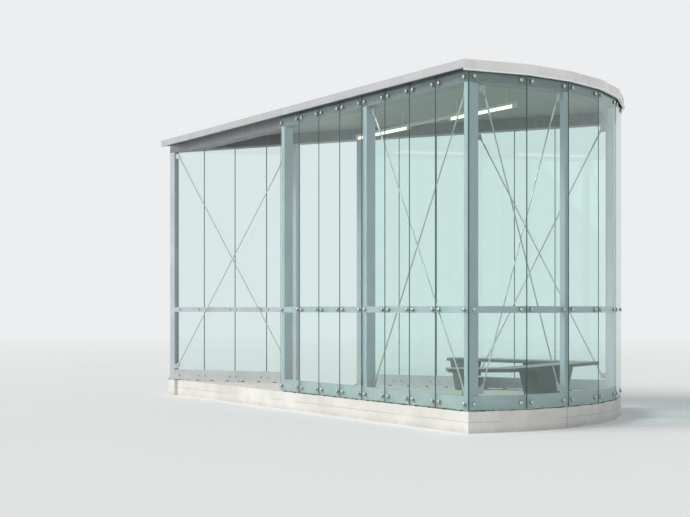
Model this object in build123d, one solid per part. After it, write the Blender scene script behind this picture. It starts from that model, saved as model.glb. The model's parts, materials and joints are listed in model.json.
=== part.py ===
from build123d import *
import math
import os

# A glass waiting shelter with a wedge plan: two straight walls meet at a tip post, and a faceted nose
# joins their far ends. Lengths are millimetres and angles are degrees. Levels are heights above the
# lowest ground.

# Plan, on the outer face of the glass
wall_length = 7275.0
tip_half_angle = 15.65
nose_facets = 6
nose_turn = 12.5
nose_facet_length = 673.0

# Levels
floor_level = 250.0
mid_rail_level = 1430.0
beam_level = 4060.0
glass_top_level = 4205.0
light_level = 3980.0

# Base
plinth_width = 250.0
tip_pier_margin = 20.0

# Street wall: an open bay from the tip, then panels to the nose corner
street_glass_start = 3281.0
street_panel = 487.6
street_post_start = 5231.0

# Rear wall: panels from the tip, a doorway, then panels to the nose corner
rear_door_start = 2310.0
rear_door_end = 3420.0
rear_left_panels = 4
rear_panel = 601.0
rear_post_start = 5180.0

# Frame
post_width = 80.0
post_depth = 150.0
tip_post_size = 110.0
nose_post_size = 80.0
post_corner_radius = 8.0
post_plate_margin = 25.0
post_plate_thickness = 10.0
corner_post_clearance = 0.5
beam_depth = 190.0
beam_height = 160.0
tip_neck_length = 260.0
bottom_rail_height = 160.0
bottom_rail_depth = 60.0
mid_rail_height = 80.0
mid_rail_depth = 40.0
packer_height = 15.0
packer_length = 60.0
packers_per_rail = 3

# Glass and its fixings
glass_thickness = 12.0
glass_foot_gap = 10.0
glass_seam = 8.0
glass_end_gap = 8.0
spacer_length = 15.0
spacer_radius = 18.0
spacer_sides = 8
fixing_inset = 60.0
nose_fixing_inset = 78.0
end_fixing_inset = 32.0
bottom_fixing_level = 336.0
top_fixing_level = 4120.0

# Bracing
rod_diameter = 16.0
rod_sides = 12
rod_spacing = 26.0
brace_depth = 108.0
tip_brace_depth = 58.0
door_brace_depth = 140.0
fork_length = 70.0
fork_jaw = 36.0
fork_eye = 17.0
fork_neck = 11.0
fork_thickness = 26.0
pin_diameter = 16.0
pin_sides = 8
pin_length = 36.0
cleat_thickness = 10.0
cleat_height = 80.0
cleat_reach = 62.0
cleat_past_pin = 22.0
brace_end_gap = 60.0
nose_brace_reach = 150.0

# Roof
ceiling_thickness = 12.0
deck_thickness = 64.0
sheet_thickness = 4.0
wall_overhang = 90.0
nose_overhang = 40.0
wall_fascia_height = 100.0
nose_fascia_height = 128.0
fascia_top_flange = 45.0
fascia_foot_return = 22.0
fascia_joint = 3.0
drip_height = 18.0
drip_projection = 12.0

# Lights
light_depth = 1230.0
light_end_gap = 475.0
light_pitch = 2070.0
lamp_length = 1240.0
lamp_diameter = 38.0
lamp_holder = 30.0
trunking_width = 50.0
trunking_height = 34.0
hanger_diameter = 12.0
hanger_inset = 150.0

# Bench: its nose plank stands back from the line between the two wall ends, and its corners lie at gaps
# from those ends. Places along a plank are measured from its corner with the nose plank.
bench_height = 470.0
bench_width = 320.0
bench_thickness = 44.0
bench_nose_setback = 30.3
bench_rear_gap = 912.5
bench_front_gap = 857.5
bench_back_length = 2115.0
bench_front_length = 683.0
bench_front_heading = 38.5
back_pedestal_top = 380.0
back_pedestal_foot = 190.0
back_pedestal_near = 685.0
back_pedestal_far = 1885.0
nose_pedestal_top = 1000.0
nose_pedestal_foot = 600.0
front_pedestal_top = 180.0
front_pedestal_foot = 110.0
front_pedestal_place = 423.0
pedestal_setback = 30.0

# Values worked out from the sizes above
Z = Vector(0, 0, 1)
skin = glass_thickness + spacer_length
ceiling_level = beam_level + beam_height
roof_level = ceiling_level + ceiling_thickness + deck_thickness + sheet_thickness
bottom_rail_level = floor_level + packer_height
glass_level = floor_level + glass_foot_gap
glass_height = glass_top_level - glass_level
fixing_levels = (bottom_fixing_level, mid_rail_level, top_fixing_level)
street_panels = int((wall_length - street_glass_start) / street_panel)
rear_right_panels = int((wall_length - rear_door_end) / rear_panel)
last_light_start = wall_length - light_end_gap - lamp_length
light_starts = (last_light_start - light_pitch, last_light_start)
tip_tangent = math.tan(math.radians(tip_half_angle))
tip_cosine = math.cos(math.radians(tip_half_angle))
half_nose_turn = math.radians(nose_turn / 2)
nose_post_front = skin / math.cos(half_nose_turn) + nose_post_size / 2 * math.tan(half_nose_turn)
pier_size = tip_post_size + 2 * tip_pier_margin
front_edge = 0
nose_edges = list(range(1, nose_facets + 1))
rear_edge = nose_facets + 1


def direction(heading):
    """The plan direction at an angle from the line of symmetry."""
    return Vector(math.cos(math.radians(heading)), math.sin(math.radians(heading)))


def plan_headings():
    """The heading of each side of the plan, from the street wall round the nose to the rear wall."""
    first = 90 - nose_turn * (nose_facets - 1) / 2
    facets = [first + nose_turn * number for number in range(nose_facets)]
    return [-tip_half_angle, *facets, 180 + tip_half_angle]


def facet_lengths():
    """The length of each nose facet; the two end facets are as long as closes the plan."""
    nose_width = 2 * wall_length * math.sin(math.radians(tip_half_angle))
    middle = headings[2:rear_edge - 1]
    middle_width = sum(nose_facet_length * direction(heading).Y for heading in middle)
    end_length = (nose_width - middle_width) / 2 / direction(headings[1]).Y
    return [end_length, *[nose_facet_length] * len(middle), end_length]


def plan_corners():
    """The corners of the plan, each at the start of the side with its number."""
    points = [Vector(0, 0)]
    for heading, length in zip(headings, [wall_length, *lengths]):
        points.append(points[-1] + direction(heading) * length)
    return points


headings = plan_headings()
lengths = facet_lengths()
corners = plan_corners()


def outward(edge):
    """The outward normal of one side of the plan."""
    return direction(headings[edge] - 90)


def moved_corner(number, before, after):
    """A corner of the plan after the sides before and after it move outwards by their own distances."""
    first = outward((number - 1) % len(headings))
    second = outward(number % len(headings))
    corner = corners[number % len(headings)]
    reach_first = corner.dot(first) + before
    reach_second = corner.dot(second) + after
    spread = first.X * second.Y - first.Y * second.X
    x = (reach_first * second.Y - reach_second * first.Y) / spread
    y = (reach_second * first.X - reach_first * second.X) / spread
    return Vector(x, y)


def offset_line(edges, wall_gap, nose_gap):
    """The corners along neighbouring sides, moved outwards: walls by one gap, the nose by the other."""
    gap = {edge: nose_gap if edge in nose_edges else wall_gap for edge in range(len(headings))}
    points = []
    for number in [*edges, edges[-1] + 1]:
        before = gap[(number - 1) % len(headings)]
        after = gap[number % len(headings)]
        points.append(moved_corner(number, before, after))
    return points


def prism(points, level, height):
    """An upright solid on a plan outline."""
    face = make_face(Polyline(*points, close=True))
    return Pos(0, 0, level) * extrude(face, amount=height, dir=Z)


def strip(edges, outer, inner, level, height):
    """A mitred length of the outline as a band. outer and inner are pairs of gaps: walls, nose."""
    far = offset_line(edges, *outer)
    near = offset_line(edges, *inner)
    return prism([*far, *reversed(near)], level, height)


def plate(wall_gap, nose_gap, level, height):
    """A plate with the whole plan outline, moved outwards by a gap on the walls and another on the nose."""
    return prism(offset_line(list(range(len(headings))), wall_gap, nose_gap)[:-1], level, height)


def edge_frame(edge):
    """The frame of one side: x runs along it from its first corner, y inwards and z up."""
    return Plane(origin=corners[edge], x_dir=direction(headings[edge]), z_dir=Z)


def corner_frame(number):
    """The frame of one corner: x runs along the mean of its two sides, y inwards and z up."""
    heading = (headings[number - 1] + headings[number]) / 2
    return Plane(origin=corners[number], x_dir=direction(heading), z_dir=Z)


def rear(shape):
    """The same thing on the rear wall, mirrored across the line of symmetry."""
    return mirror(shape, about=Plane.XZ)


def wall_block(start, end, outer, inner, level, height):
    """A block on the street wall, from one distance from the tip to another and between two depths."""
    size = Box(end - start, inner - outer, height)
    centre = Pos((start + end) / 2, (outer + inner) / 2, level + height / 2)
    return edge_frame(front_edge) * centre * size


def gathered(solids):
    """Solids that don't touch, held together as one node."""
    return Compound(children=[solid for shape in solids for solid in shape.solids()])


# Base: the plinth under the glass, and the floor inside it
def plinth_band(edges):
    """The plinth along some sides, flush with the outer face of the glass."""
    return strip(edges, (0, 0), (-plinth_width, -plinth_width), 0, floor_level)


def open_bay(start, end):
    """A block that clears a stretch of the street wall's plinth."""
    return wall_block(start, end, -plinth_width, 2 * plinth_width, -floor_level, 3 * floor_level)


def make_base():
    """The plinth runs and the floor slab, which fills what they leave of the plan."""
    street = plinth_band([front_edge]) - open_bay(-wall_length, street_glass_start)
    rear_run = plinth_band([rear_edge]) - rear(open_bay(rear_door_start, rear_door_end))
    nose = plinth_band(nose_edges)
    pier = Pos(0, 0, floor_level / 2) * Box(pier_size, pier_size, floor_level)
    rear_run = rear_run - pier
    floor = plate(0, 0, 0, floor_level) + pier - street - nose - rear_run
    return {"plinth_front": street, "plinth_nose": nose, "plinth_back": rear_run, "floor_slab": floor}


# Posts
def rounded_section(width, depth, height):
    """An upright length of a rectangular section with rounded corners, standing on level 0."""
    return extrude(RectangleRounded(width, depth, post_corner_radius), amount=height)


def wall_post(start):
    """A post of the street wall on its base plate, its outer face at the back of the glass spacers."""
    middle = Pos(start + post_width / 2, skin + post_depth / 2, floor_level)
    section = rounded_section(post_width, post_depth, beam_level - floor_level)
    column = edge_frame(front_edge) * middle * section
    foot_start = start - post_plate_margin
    foot_end = start + post_width + post_plate_margin
    inner = skin + post_depth + post_plate_margin
    return column + wall_block(foot_start, foot_end, skin, inner, floor_level, post_plate_thickness)


def nose_post(number):
    """A square post on its base plate at a corner of the nose, its outer edges on the line of the rails."""
    frame = corner_frame(number)
    middle = Pos(0, nose_post_front + nose_post_size / 2, floor_level)
    column = frame * middle * rounded_section(nose_post_size, nose_post_size, beam_level - floor_level)
    foot_width = nose_post_size + 2 * post_plate_margin
    foot_depth = nose_post_size + post_plate_margin
    foot_middle = Pos(0, nose_post_front + foot_depth / 2, floor_level + post_plate_thickness / 2)
    return column + frame * foot_middle * Box(foot_width, foot_depth, post_plate_thickness)


def nose_post_room(number):
    """The room that a nose post takes out of the rails, from the glass to its inner face."""
    depth = nose_post_front + nose_post_size
    place = Pos(0, depth / 2, beam_level / 2)
    return corner_frame(number) * place * Box(nose_post_size, depth, beam_level)


def tip_post():
    """The square post at the tip on its base plate, up to the underside of the beams."""
    column = rounded_section(tip_post_size, tip_post_size, beam_level - floor_level)
    foot = Box(pier_size, pier_size, post_plate_thickness)
    return Pos(0, 0, floor_level) * (column + Pos(0, 0, post_plate_thickness / 2) * foot)


corner_turn = math.radians((headings[1] - headings[front_edge]) / 2)
corner_post_start = wall_length - post_width - skin * math.tan(corner_turn) - corner_post_clearance
nose_post_corners = (nose_facets // 2, nose_facets // 2 + 2)
rear_door_post_starts = (rear_door_start - post_width / 2, rear_door_end - post_width / 2)
street_post_starts = (street_glass_start, street_post_start, corner_post_start)
rear_post_starts = (rear_door_post_starts[1], rear_post_start, corner_post_start)


def make_posts():
    """Every post by its name."""
    return {
        "post_tip": tip_post(),
        "post_front_left": wall_post(street_glass_start),
        "post_front_middle": wall_post(street_post_start),
        "post_front_corner": wall_post(corner_post_start),
        "post_nose_front": nose_post(nose_post_corners[0]),
        "post_nose_back": nose_post(nose_post_corners[1]),
        "post_back_corner": rear(wall_post(corner_post_start)),
        "post_back_middle": rear(wall_post(rear_post_start)),
        "post_door_right": rear(wall_post(rear_door_post_starts[1])),
        "post_door_left": rear(wall_post(rear_door_post_starts[0])),
    }


# Rails and beams
def tip_head():
    """The head on the tip post and its neck, which widens until it is as wide as the street beam."""
    head = Pos(0, 0, beam_level) * rounded_section(tip_post_size, tip_post_size, beam_height)
    half = tip_post_size / 2
    reach = half + tip_neck_length
    beam_side = (reach - skin / tip_cosine / tip_tangent) * tip_tangent
    outline = [(0, -half), (half, -half), (reach, -beam_side), (reach, 0), (0, 0)]
    return head + prism(outline, beam_level, beam_height)


def make_beams():
    """The ring of beams on top of the posts, mitred at the nose corners and joined at the tip's head."""
    outer = (-skin, -skin)
    inner = (-skin - beam_depth, -skin - beam_depth)
    runs = {"top_beam_front": [front_edge], "top_beam_nose": nose_edges, "top_beam_back": [rear_edge]}
    beams = {name: strip(edges, outer, inner, beam_level, beam_height) for name, edges in runs.items()}
    beams["top_beam_front"] = beams["top_beam_front"] + tip_head()
    return beams


def rail_between(start, end, depth, level, height):
    """A rail of the street wall between two posts."""
    return wall_block(start, end, skin, skin + depth, level, height)


def tip_side():
    """Everything on the tip's side of the tip post's inner face."""
    size = 4 * tip_post_size
    middle = (beam_level + floor_level) / 2
    return Pos(tip_post_size / 2 - size / 2, 0, middle) * Box(size, 2 * size, beam_level)


def pairs(values):
    """Each value with the one after it."""
    return list(zip(values, values[1:]))


def rail_run(post_starts, depth, level, height):
    """The rails between neighbouring posts of the street wall."""
    spans = pairs(post_starts)
    return [rail_between(first + post_width, last, depth, level, height) for first, last in spans]


def rail_set(depth, level, height, posts):
    """One level of rails as solids, for the street wall, the nose and both parts of the rear wall."""
    left = rail_between(0, rear_door_post_starts[0], depth, level, height)
    nose = strip(nose_edges, (-skin, -skin), (-skin - depth, -skin - depth), level, height)
    for name in ("post_front_corner", "post_back_corner"):
        nose = nose - posts[name]
    for number in nose_post_corners:
        nose = nose - nose_post_room(number)
    return {
        "front": rail_run(street_post_starts, depth, level, height),
        "nose": nose.solids(),
        "back_left": [rear(left) - tip_side()],
        "back_right": [rear(rail) for rail in rail_run(rear_post_starts, depth, level, height)],
    }


def packer(frame, along):
    """A packer between the floor and a bottom rail."""
    place = Pos(along, skin + bottom_rail_depth / 2, floor_level + packer_height / 2)
    return frame * place * Box(packer_length, bottom_rail_depth, packer_height)


def rail_packers(start, end):
    """Evenly spaced packers under one rail of the street wall."""
    clear = packer_length + post_plate_margin
    first = start + clear
    last = end - clear
    step = (last - first) / (packers_per_rail - 1)
    return [packer(edge_frame(front_edge), first + step * number) for number in range(packers_per_rail)]


def run_packers(post_starts):
    """The packers under the rails between neighbouring posts of the street wall."""
    spans = pairs(post_starts)
    return [block for first, last in spans for block in rail_packers(first + post_width, last)]


def on_packers(rail, packers):
    """A bottom rail joined to its packers."""
    for block in packers:
        rail = rail + block
    return rail


def make_rails(posts):
    """The mid rails at hand height, and the bottom rails on their packers."""
    mid = rail_set(mid_rail_depth, mid_rail_level - mid_rail_height / 2, mid_rail_height, posts)
    low = rail_set(bottom_rail_depth, bottom_rail_level, bottom_rail_height, posts)
    left_start = tip_post_size + packer_length
    packers = {
        "front": run_packers(street_post_starts),
        "nose": [packer(edge_frame(edge), lengths[edge - 1] / 2) for edge in nose_edges],
        "back_left": [rear(block) for block in rail_packers(left_start, rear_door_post_starts[0])],
        "back_right": [rear(block) for block in run_packers(rear_post_starts)],
    }
    nodes = {f"mid_rail_{place}": gathered(rails) for place, rails in mid.items()}
    for place, rails in low.items():
        nodes[f"bottom_rail_{place}"] = gathered([on_packers(gathered(rails), packers[place])])
    return nodes


# Glass
def street_panel_ends(start, pitch, count, end):
    """The start and end of each panel of a straight run; the last panel takes what is left."""
    joints = [start + pitch * number for number in range(count)]
    return pairs([*joints, end])


def glass_panel(start, end):
    """A panel of the street wall with half a seam left free at each end."""
    first = start + glass_seam / 2
    last = end - glass_seam / 2
    return wall_block(first, last, 0, glass_thickness, glass_level, glass_height)


def corner_slot(number):
    """The seam between the glass on both sides of a corner of the plan."""
    place = Pos(0, 0, glass_level + glass_height / 2)
    return corner_frame(number) * place * Box(glass_seam, 4 * skin, 2 * glass_height)


street_run = street_panel_ends(street_glass_start, street_panel, street_panels, wall_length)
rear_left_run = street_panel_ends(0, rear_door_start / rear_left_panels, rear_left_panels, rear_door_start)
rear_right_run = street_panel_ends(rear_door_end, rear_panel, rear_right_panels, wall_length)
tip_glass_start = (tip_post_size / 2 + glass_end_gap) / tip_cosine


def corner_panel(start):
    """The last panel of the street wall, mitred to the first one of the nose."""
    band = strip([front_edge], (0, 0), (-glass_thickness, -glass_thickness), glass_level, glass_height)
    cut = wall_block(-wall_length, start + glass_seam / 2, -skin, 2 * skin, 0, 2 * glass_height)
    return band - cut - corner_slot(1)


def make_glass():
    """The glass of each wall: one solid for every panel."""
    street = [glass_panel(*ends) for ends in street_run[:-1]] + [corner_panel(street_run[-1][0])]
    right = [glass_panel(*ends) for ends in rear_right_run[:-1]] + [corner_panel(rear_right_run[-1][0])]
    left = [glass_panel(max(start, tip_glass_start), end) for start, end in rear_left_run]
    nose = strip(nose_edges, (0, 0), (-glass_thickness, -glass_thickness), glass_level, glass_height)
    for number in range(1, rear_edge + 1):
        nose = nose - corner_slot(number)
    return {
        "glass_front": gathered(street),
        "glass_nose": gathered([nose]),
        "glass_back_left": gathered([rear(panel) for panel in left]),
        "glass_back_right": gathered([rear(panel) for panel in right]),
    }


def spacer(frame, along, level):
    """A spacer between the glass and the steel, at one fixing."""
    disc = extrude(RegularPolygon(spacer_radius, spacer_sides), amount=spacer_length)
    return frame * Pos(along, glass_thickness, level) * Rot(-90, 0, 0) * disc


def run_fixings(run, first_inset, last_inset):
    """Where the fixings of a run of panels are, along the wall."""
    places = []
    for start, end in run:
        before = first_inset if start == run[0][0] else fixing_inset
        after = last_inset if end == run[-1][1] else fixing_inset
        places.extend([start + before, end - after])
    return places


def make_spacers():
    """The spacers behind every fixing of the glass."""
    wall = edge_frame(front_edge)
    street = run_fixings(street_run, end_fixing_inset, nose_fixing_inset)
    tip_run = [(tip_glass_start, rear_left_run[0][1]), *rear_left_run[1:]]
    left = run_fixings(tip_run, nose_fixing_inset, end_fixing_inset)
    right = run_fixings(rear_right_run, end_fixing_inset, nose_fixing_inset)
    discs = [spacer(wall, along, level) for along in street for level in fixing_levels]
    discs += [rear(spacer(wall, along, level)) for along in [*left, *right] for level in fixing_levels]
    for edge in nose_edges:
        for along in (nose_fixing_inset, lengths[edge - 1] - nose_fixing_inset):
            discs += [spacer(edge_frame(edge), along, level) for level in fixing_levels]
    return {"glass_spacers": gathered(discs)}


# Bracing
def fork():
    """A fork with its pin at the origin: two cheeks that taper to the rod, which leaves along x."""
    chamfer = fork_eye / 2
    side = [(-fork_eye, chamfer), (-chamfer, fork_eye), (fork_jaw, fork_eye), (fork_length, fork_neck)]
    below = [(x, -y) for x, y in reversed(side)]
    body = extrude(make_face(Polyline(*side, *below, close=True)), amount=fork_thickness / 2, both=True)
    slot = Pos(fork_jaw / 2 - fork_eye, 0, 0) * Box(fork_jaw + 2 * fork_eye, 2 * fork_eye, cleat_thickness)
    pin = extrude(RegularPolygon(pin_diameter / 2, pin_sides), amount=pin_length / 2, both=True)
    return body - slot + pin


def cleat(pin_centre, outwards, posts):
    """The plate that a fork is pinned to, cut to the face of the post that it is welded to."""
    frame = Plane(origin=pin_centre, x_dir=outwards, z_dir=Z.cross(outwards))
    middle = Pos((cleat_reach - cleat_past_pin) / 2, 0, 0)
    blank = frame * middle * Box(cleat_reach + cleat_past_pin, cleat_height, cleat_thickness)
    for post in posts:
        blank = blank - post
    return max(blank.solids(), key=lambda piece: piece.volume)


def tie_rod(start, end, posts):
    """A rod between two pins at start and end, with a fork and a welded cleat at each."""
    span = end - start
    level_way = Vector(span.X, span.Y).normalized()
    frame = Plane(origin=start, x_dir=span, z_dir=Z.cross(level_way))
    bar = extrude(RegularPolygon(rod_diameter / 2, rod_sides), amount=span.length - 2 * fork_jaw)
    rod = Pos(fork_jaw, 0, 0) * Rot(0, 90, 0) * bar
    far_fork = Pos(span.length, 0, 0) * Rot(0, 0, 180) * fork()
    tie = frame * (rod + fork() + far_fork)
    return tie + cleat(start, level_way * -1, posts) + cleat(end, level_way, posts)


def cross_brace(left, right, posts):
    """Two rods that cross between plan points left and right, side by side in depth."""
    low = bottom_rail_level + bottom_rail_height + brace_end_gap
    high = beam_level - brace_end_gap
    way = (right - left).normalized()
    side = Z.cross(way) * (rod_spacing / 2)
    rising = tie_rod(left + side + Z * low, right + side + Z * high, posts)
    falling = tie_rod(left - side + Z * high, right - side + Z * low, posts)
    return gathered([rising, falling])


def wall_point(along, depth):
    """A plan point by its distance along the street wall and its depth behind the glass."""
    return direction(headings[front_edge]) * along - outward(front_edge) * depth


def wall_brace(first_post, last_post, posts):
    """The crossed rods between two posts of the street wall."""
    left = wall_point(first_post + post_width + cleat_reach, brace_depth)
    right = wall_point(last_post - cleat_reach, brace_depth)
    return cross_brace(left, right, posts)


def nose_brace(posts):
    """The crossed rods between the street wall's corner post and the first post of the nose."""
    start = wall_point(corner_post_start + post_width / 2, skin + post_depth / 2)
    corner = corner_frame(nose_post_corners[0])
    end = corner.from_local_coords(Vector(0, skin + nose_post_size / 2, 0))
    way = (end - start).normalized()
    left = start + way * nose_brace_reach
    right = end - way * (nose_post_size / 2 + cleat_reach)
    return cross_brace(left, right, posts)


def tip_brace(posts):
    """The crossed rods between the tip post and the doorway's first post, drawn on the street side."""
    tip_reach = tip_post_size / 2 + cleat_reach
    left = wall_point(tip_reach / tip_cosine - tip_brace_depth * tip_tangent, tip_brace_depth)
    right = wall_point(rear_door_post_starts[0] - cleat_reach, door_brace_depth)
    return cross_brace(left, right, posts)


def make_braces(posts):
    """Every pair of crossed rods; those of the rear are drawn on the street side and mirrored."""
    street = list(posts.values())
    back = [rear(post) for post in street]
    return {
        "brace_front": wall_brace(street_post_start, corner_post_start, street),
        "brace_nose_front": nose_brace(street),
        "brace_nose_back": rear(nose_brace(back)),
        "brace_back_left": rear(tip_brace(back)),
        "brace_back_right": rear(wall_brace(rear_post_start, corner_post_start, back)),
    }


# Roof
def fascia(edges, height, drip):
    """A folded edge sheet: an upright leaf, a flange on the deck and a return at its foot."""
    outer = (wall_overhang, nose_overhang)
    leaf = tuple(gap - sheet_thickness for gap in outer)
    flange = tuple(gap - fascia_top_flange for gap in outer)
    foot = tuple(gap - fascia_foot_return for gap in outer)
    level = roof_level - height
    sheet = strip(edges, outer, leaf, level, height)
    sheet = sheet + strip(edges, outer, flange, roof_level - sheet_thickness, sheet_thickness)
    sheet = sheet + strip(edges, outer, foot, level, sheet_thickness)
    if drip:
        nosing = (wall_overhang, nose_overhang + drip_projection)
        sheet = sheet + strip(edges, nosing, outer, level, drip_height)
    return sheet


def make_roof():
    """The ceiling on the beams, the deck over it and the folded sheets round its edge."""
    reach = (wall_overhang - sheet_thickness, nose_overhang - sheet_thickness)
    joint_reach = 2 * wall_overhang
    joint_end = street_glass_start + fascia_joint
    joint_start = street_glass_start
    joint = wall_block(joint_start, joint_end, -joint_reach, joint_reach, ceiling_level / 2, ceiling_level)
    return {
        "ceiling_panel": plate(*reach, ceiling_level, ceiling_thickness),
        "roof_deck": plate(*reach, ceiling_level + ceiling_thickness, deck_thickness),
        "fascia_front": gathered([fascia([front_edge], wall_fascia_height, False) - joint]),
        "fascia_nose": fascia(nose_edges, nose_fascia_height, True),
        "fascia_back": fascia([rear_edge], wall_fascia_height, False),
    }


# Lights
def along_wall(start, end, level, shape):
    """A shape drawn along its own z, laid parallel to the street wall on the line of the lights."""
    place = Pos((start + end) / 2, light_depth, level)
    return edge_frame(front_edge) * place * Rot(0, 90, 0) * shape


def make_lights():
    """A trunking hung from the ceiling, with two lamps under it between their holders."""
    trunking_level = light_level + lamp_diameter / 2 + trunking_height / 2
    first = light_starts[0]
    last = light_starts[1] + lamp_length
    section = Box(trunking_height, trunking_width, last - first)
    rail = along_wall(first, last, trunking_level, section)
    hanger_height = ceiling_level - trunking_level - trunking_height / 2
    hanger_level = ceiling_level - hanger_height / 2
    lamps = []
    for start in light_starts:
        end = start + lamp_length
        for centre in (start + hanger_inset, end - hanger_inset):
            place = Pos(centre, light_depth, hanger_level)
            rail = rail + edge_frame(front_edge) * place * Cylinder(hanger_diameter / 2, hanger_height)
        holder = Box(lamp_diameter, lamp_diameter, lamp_holder)
        rail = rail + along_wall(start, start + lamp_holder, light_level, holder)
        rail = rail + along_wall(end - lamp_holder, end, light_level, holder)
        glow = Cylinder(lamp_diameter / 2, lamp_length - 2 * lamp_holder)
        lamps.append(along_wall(start, end, light_level, glow))
    return {"light_rail": rail, "light_tube_left": lamps[0], "light_tube_right": lamps[1]}


# Bench
def bench_corner(before, corner, after, side):
    """Where the edges of two planks meet, half a width to one side of their centre lines."""
    way_in = (corner - before).normalized()
    way_out = (after - corner).normalized()
    middle = (way_in + way_out).normalized()
    reach = bench_width / 2 / middle.dot(way_in)
    return corner + Z.cross(middle) * (side * reach)


def bench_edge(line, side):
    """One edge of the row of planks, half a width to one side of its centre line."""
    half = bench_width / 2 * side
    first = line[0] + Z.cross((line[1] - line[0]).normalized()) * half
    last = line[-1] + Z.cross((line[-1] - line[-2]).normalized()) * half
    inner = [bench_corner(*line[number - 1:number + 2], side) for number in range(1, len(line) - 1)]
    return [first, *inner, last]


def pedestal(point, way, top_length, foot_length):
    """A pedestal on the floor under a plank, its ends leaning in towards the foot."""
    height = bench_height - bench_thickness
    foot = foot_length / 2
    top = top_length / 2
    outline = Polyline((-foot, 0), (foot, 0), (top, height), (-top, height), close=True)
    frame = Plane(origin=point + Z * floor_level, x_dir=way, z_dir=way.cross(Z))
    return frame * extrude(make_face(outline), amount=bench_width / 2 - pedestal_setback, both=True)


def bench_line():
    """The centre line of the planks, from the free end at the rear wall to the one at the street wall."""
    rear_corner = corners[rear_edge] - Vector(bench_nose_setback, bench_rear_gap)
    front_corner = corners[1] - Vector(bench_nose_setback, -bench_front_gap)
    rear_end = rear_corner - direction(0) * bench_back_length
    front_end = front_corner - direction(bench_front_heading) * bench_front_length
    return [rear_end, rear_corner, front_corner, front_end]


def make_bench():
    """Three planks mitred round the inside of the nose, on their pedestals."""
    line = bench_line()
    left = bench_edge(line, 1)
    right = bench_edge(line, -1)
    nose_middle = (line[2] - line[1]).length / 2
    near = bench_back_length - back_pedestal_near
    far = bench_back_length - back_pedestal_far
    pedestals = {
        "bench_back": [(place, back_pedestal_top, back_pedestal_foot) for place in (far, near)],
        "bench_nose": [(nose_middle, nose_pedestal_top, nose_pedestal_foot)],
        "bench_front": [(front_pedestal_place, front_pedestal_top, front_pedestal_foot)],
    }
    nodes = {}
    for number, (name, places) in enumerate(pedestals.items()):
        outline = [left[number], left[number + 1], right[number + 1], right[number]]
        bench = prism(outline, floor_level + bench_height - bench_thickness, bench_thickness)
        way = (line[number + 1] - line[number]).normalized()
        for place, top_length, foot_length in places:
            bench = bench + pedestal(line[number] + way * place, way, top_length, foot_length)
        nodes[name] = bench
    return nodes


def make_nodes():
    """Every sub-part by its name, with the tip at the origin of the plan."""
    posts = make_posts()
    nodes = {**make_base(), **posts, **make_beams(), **make_rails(posts), **make_glass(), **make_spacers()}
    nodes.update(make_braces(posts))
    nodes.update(make_roof())
    nodes.update(make_lights())
    nodes.update(make_bench())
    return nodes


# The part's origin is on the ground, under the middle of the roof.
tip_point = offset_line([front_edge], wall_overhang, nose_overhang)[0]
nose_point = offset_line(nose_edges, wall_overhang, nose_overhang + drip_projection)[nose_facets // 2]
to_origin = Pos(-(tip_point.X + nose_point.X) / 2, 0, 0)

os.makedirs("parts", exist_ok=True)
for name, shape in make_nodes().items():
    export_step(to_origin * shape, f"parts/{name}.step")
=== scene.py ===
import json

import bpy
import numpy as np
from mathutils import Matrix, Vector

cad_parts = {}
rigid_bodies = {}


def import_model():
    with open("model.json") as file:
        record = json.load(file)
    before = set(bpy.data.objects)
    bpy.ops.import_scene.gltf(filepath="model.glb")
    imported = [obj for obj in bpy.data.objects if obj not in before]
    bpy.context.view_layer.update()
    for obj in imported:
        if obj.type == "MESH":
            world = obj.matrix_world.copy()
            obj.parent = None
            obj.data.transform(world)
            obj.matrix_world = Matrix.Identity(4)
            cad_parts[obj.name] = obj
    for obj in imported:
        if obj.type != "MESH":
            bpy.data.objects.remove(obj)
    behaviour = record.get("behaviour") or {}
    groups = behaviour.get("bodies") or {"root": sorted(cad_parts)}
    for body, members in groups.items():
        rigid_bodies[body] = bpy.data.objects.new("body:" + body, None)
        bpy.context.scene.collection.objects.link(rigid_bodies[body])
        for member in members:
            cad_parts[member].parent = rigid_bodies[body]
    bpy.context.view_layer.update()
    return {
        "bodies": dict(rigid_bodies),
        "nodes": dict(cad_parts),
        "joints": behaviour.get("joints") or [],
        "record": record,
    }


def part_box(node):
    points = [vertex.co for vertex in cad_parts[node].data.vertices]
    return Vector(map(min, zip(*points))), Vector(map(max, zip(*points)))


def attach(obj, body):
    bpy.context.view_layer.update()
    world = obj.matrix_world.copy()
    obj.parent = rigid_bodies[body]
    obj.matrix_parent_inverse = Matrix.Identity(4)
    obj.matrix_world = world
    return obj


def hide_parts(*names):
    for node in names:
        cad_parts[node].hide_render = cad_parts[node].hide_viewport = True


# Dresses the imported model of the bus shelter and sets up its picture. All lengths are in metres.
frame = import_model()
NODES = frame["nodes"]
UP = np.array([0.0, 0.0, 1.0])

# Plan, on the outer face of the glass: two long walls from the tip, joined by the facets of the nose
TIP_HALF_ANGLE = np.radians(15.65)
WALL_LENGTH = 7.275
NOSE_FACETS = 6
NOSE_TURN = np.radians(12.5)
NOSE_FACET = 0.673
TIP_POST = 0.110
TIP_PLATE = 0.150

# Runs of panes, by the distance from the tip
STREET_GLASS_START = 3.281
STREET_PANEL = 0.4876
STREET_PANELS = 8
DOOR_START = 2.310
DOOR_END = 3.420
REAR_LEFT_PANELS = 4
REAR_PANEL = 0.601
REAR_RIGHT_PANELS = 6

# Glass: panes, the beads in their seams and the blocks that they stand on
GLASS_THICK = 0.012
GLASS_FOOT = 0.260
GLASS_HEAD = 4.205
GLASS_CAST = (0.82, 0.94, 0.915)
ARRIS = 0.0016
SEAM = 0.008
TIP_GLASS_GAP = 0.008
SEAL_SPREAD = 0.0004
SEAL_CROWN = 0.001
SEAL_SHORT = 0.002
BLOCK_LENGTH = 0.055
BLOCK_ROUND = 0.001
BLOCK_PLACES = (0.25, 0.75)

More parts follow.
